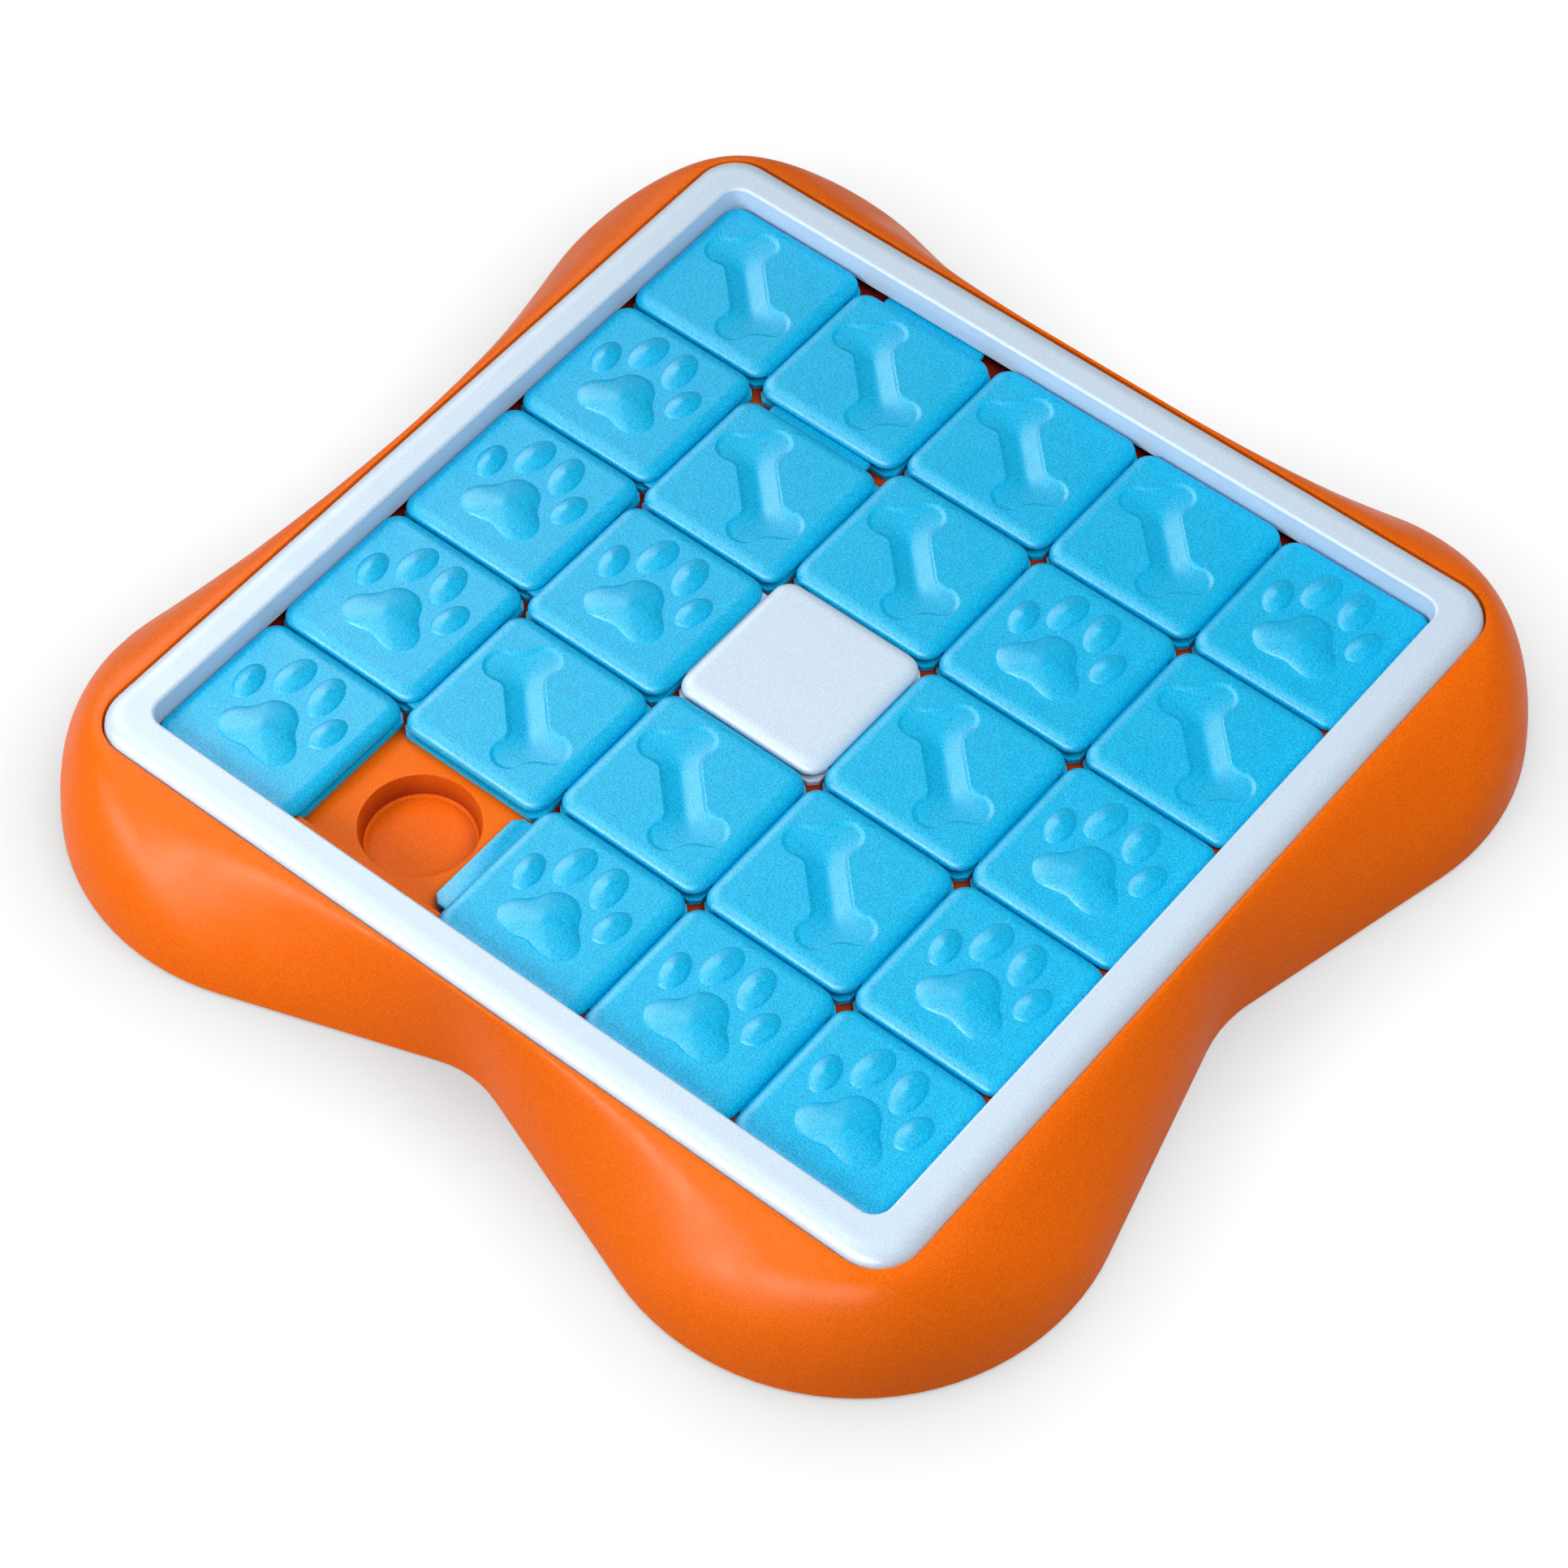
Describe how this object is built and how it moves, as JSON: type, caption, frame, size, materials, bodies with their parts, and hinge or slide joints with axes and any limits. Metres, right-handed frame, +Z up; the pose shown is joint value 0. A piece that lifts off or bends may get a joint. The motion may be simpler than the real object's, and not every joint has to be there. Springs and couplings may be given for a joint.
{
  "type": "dog puzzle feeder toy",
  "caption": "Treat puzzle for dogs: a square field of interlocking sliding tiles with paw and bone prints, one cell empty, framed over a lobed base tray with hidden treat cups.",
  "frame": {"origin": "on the ground, under the middle of the tile field", "axes": "+X to the right along the front edge, +Y to the back, where the paw prints point, +Z up"},
  "size_m": [0.341, 0.341, 0.0434],
  "materials": {
    "orange_plastic": "injection moulded orange plastic, fine satin texture",
    "blue_plastic": "injection moulded sky blue plastic, fine satin texture",
    "pale_plastic": "injection moulded pale blue-grey plastic, fine satin texture",
    "foot_rubber": "moulded grey-black rubber",
    "screw_steel": "zinc-plated steel screws"
  },
  "bodies": {
    "tray_and_frame": {"base_tray": "orange_plastic", "frame": "pale_plastic", "tile_c1r1_cap": "blue_plastic", "tile_c1r1_glide": "blue_plastic", "tile_c3r1_cap": "blue_plastic", "tile_c3r1_glide": "blue_plastic", "tile_c4r1_cap": "blue_plastic", "tile_c4r1_glide": "blue_plastic", "tile_c5r1_cap": "blue_plastic", "tile_c5r1_glide": "blue_plastic", "tile_c1r2_cap": "blue_plastic", "tile_c1r2_glide": "blue_plastic", "tile_c3r2_cap": "blue_plastic", "tile_c3r2_glide": "blue_plastic", "tile_c4r2_cap": "blue_plastic", "tile_c4r2_glide": "blue_plastic", "tile_c5r2_cap": "blue_plastic", "tile_c5r2_glide": "blue_plastic", "tile_c1r3_cap": "blue_plastic", "tile_c1r3_glide": "blue_plastic", "centre_tile_cap": "pale_plastic", "centre_tile_glide": "pale_plastic", "tile_c4r3_cap": "blue_plastic", "tile_c4r3_glide": "blue_plastic", "tile_c5r3_cap": "blue_plastic", "tile_c5r3_glide": "blue_plastic", "tile_c1r4_cap": "blue_plastic", "tile_c1r4_glide": "blue_plastic", "tile_c3r4_cap": "blue_plastic", "tile_c3r4_glide": "blue_plastic", "tile_c4r4_cap": "blue_plastic", "tile_c4r4_glide": "blue_plastic", "tile_c5r4_cap": "blue_plastic", "tile_c5r4_glide": "blue_plastic", "tile_c1r5_cap": "blue_plastic", "tile_c1r5_glide": "blue_plastic", "tile_c3r5_cap": "blue_plastic", "tile_c3r5_glide": "blue_plastic", "tile_c4r5_cap": "blue_plastic", "tile_c4r5_glide": "blue_plastic", "tile_c5r5_cap": "blue_plastic", "tile_c5r5_glide": "blue_plastic", "foot_front_left": "foot_rubber", "foot_front_right": "foot_rubber", "foot_back_right": "foot_rubber", "foot_back_left": "foot_rubber", "frame_screws": "screw_steel", "centre_screw": "screw_steel"},
    "tile_c2r2": {"tile_c2r2_cap": "blue_plastic", "tile_c2r2_glide": "blue_plastic"},
    "tile_c2r3": {"tile_c2r3_cap": "blue_plastic", "tile_c2r3_glide": "blue_plastic"},
    "tile_c2r4": {"tile_c2r4_cap": "blue_plastic", "tile_c2r4_glide": "blue_plastic"},
    "tile_c2r5": {"tile_c2r5_cap": "blue_plastic", "tile_c2r5_glide": "blue_plastic"}
  },
  "joints": [
    {"name": "slide_c2r2", "type": "slide", "parent": "tray_and_frame", "child": "tile_c2r2", "axis": [0, -1, 0], "range_m": [-0.0031, 0.0454]},
    {"name": "slide_c2r3", "type": "slide", "parent": "tray_and_frame", "child": "tile_c2r3", "axis": [0, -1, 0], "range_m": [-0.0031, 0.0454]},
    {"name": "slide_c2r4", "type": "slide", "parent": "tray_and_frame", "child": "tile_c2r4", "axis": [0, -1, 0], "range_m": [-0.0031, 0.0454]},
    {"name": "slide_c2r5", "type": "slide", "parent": "tray_and_frame", "child": "tile_c2r5", "axis": [0, -1, 0], "range_m": [-0.0031, 0.0454]}
  ],
  "couplings": [
    {"joint": "slide_c2r3", "follows": "slide_c2r2", "ratio": 1},
    {"joint": "slide_c2r4", "follows": "slide_c2r2", "ratio": 1},
    {"joint": "slide_c2r5", "follows": "slide_c2r2", "ratio": 1}
  ]
}
